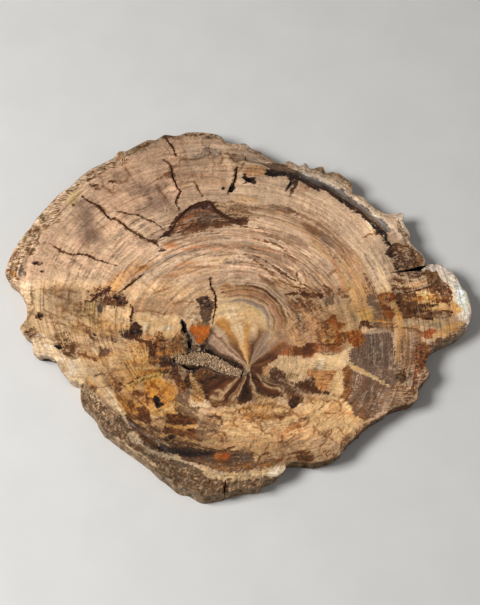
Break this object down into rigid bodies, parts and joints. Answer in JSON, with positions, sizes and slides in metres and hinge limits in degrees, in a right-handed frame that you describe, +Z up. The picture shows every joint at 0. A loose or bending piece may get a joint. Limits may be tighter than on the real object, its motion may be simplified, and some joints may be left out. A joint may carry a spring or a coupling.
{
  "type": "petrified wood slice",
  "caption": "Flat polished slice of a petrified tree trunk with growth rings, open cracks, a crystal-lined hollow by the pith and a natural bark edge.",
  "frame": {"origin": "on the flat sawn underside, under the middle of the slice's box", "axes": "+X along the slice's longest side, towards the pale crusted knob; +Z up, out of the polished face"},
  "size_m": [0.3651, 0.3268, 0.017],
  "materials": {
    "polished_wood_stone": "polished face, rough natural bark edge",
    "quartz_crystal": "small glassy crystal faces"
  },
  "bodies": {
    "root": {"petrified_wood_slice": "polished_wood_stone", "quartz_druse": "quartz_crystal"}
  },
  "joints": []
}
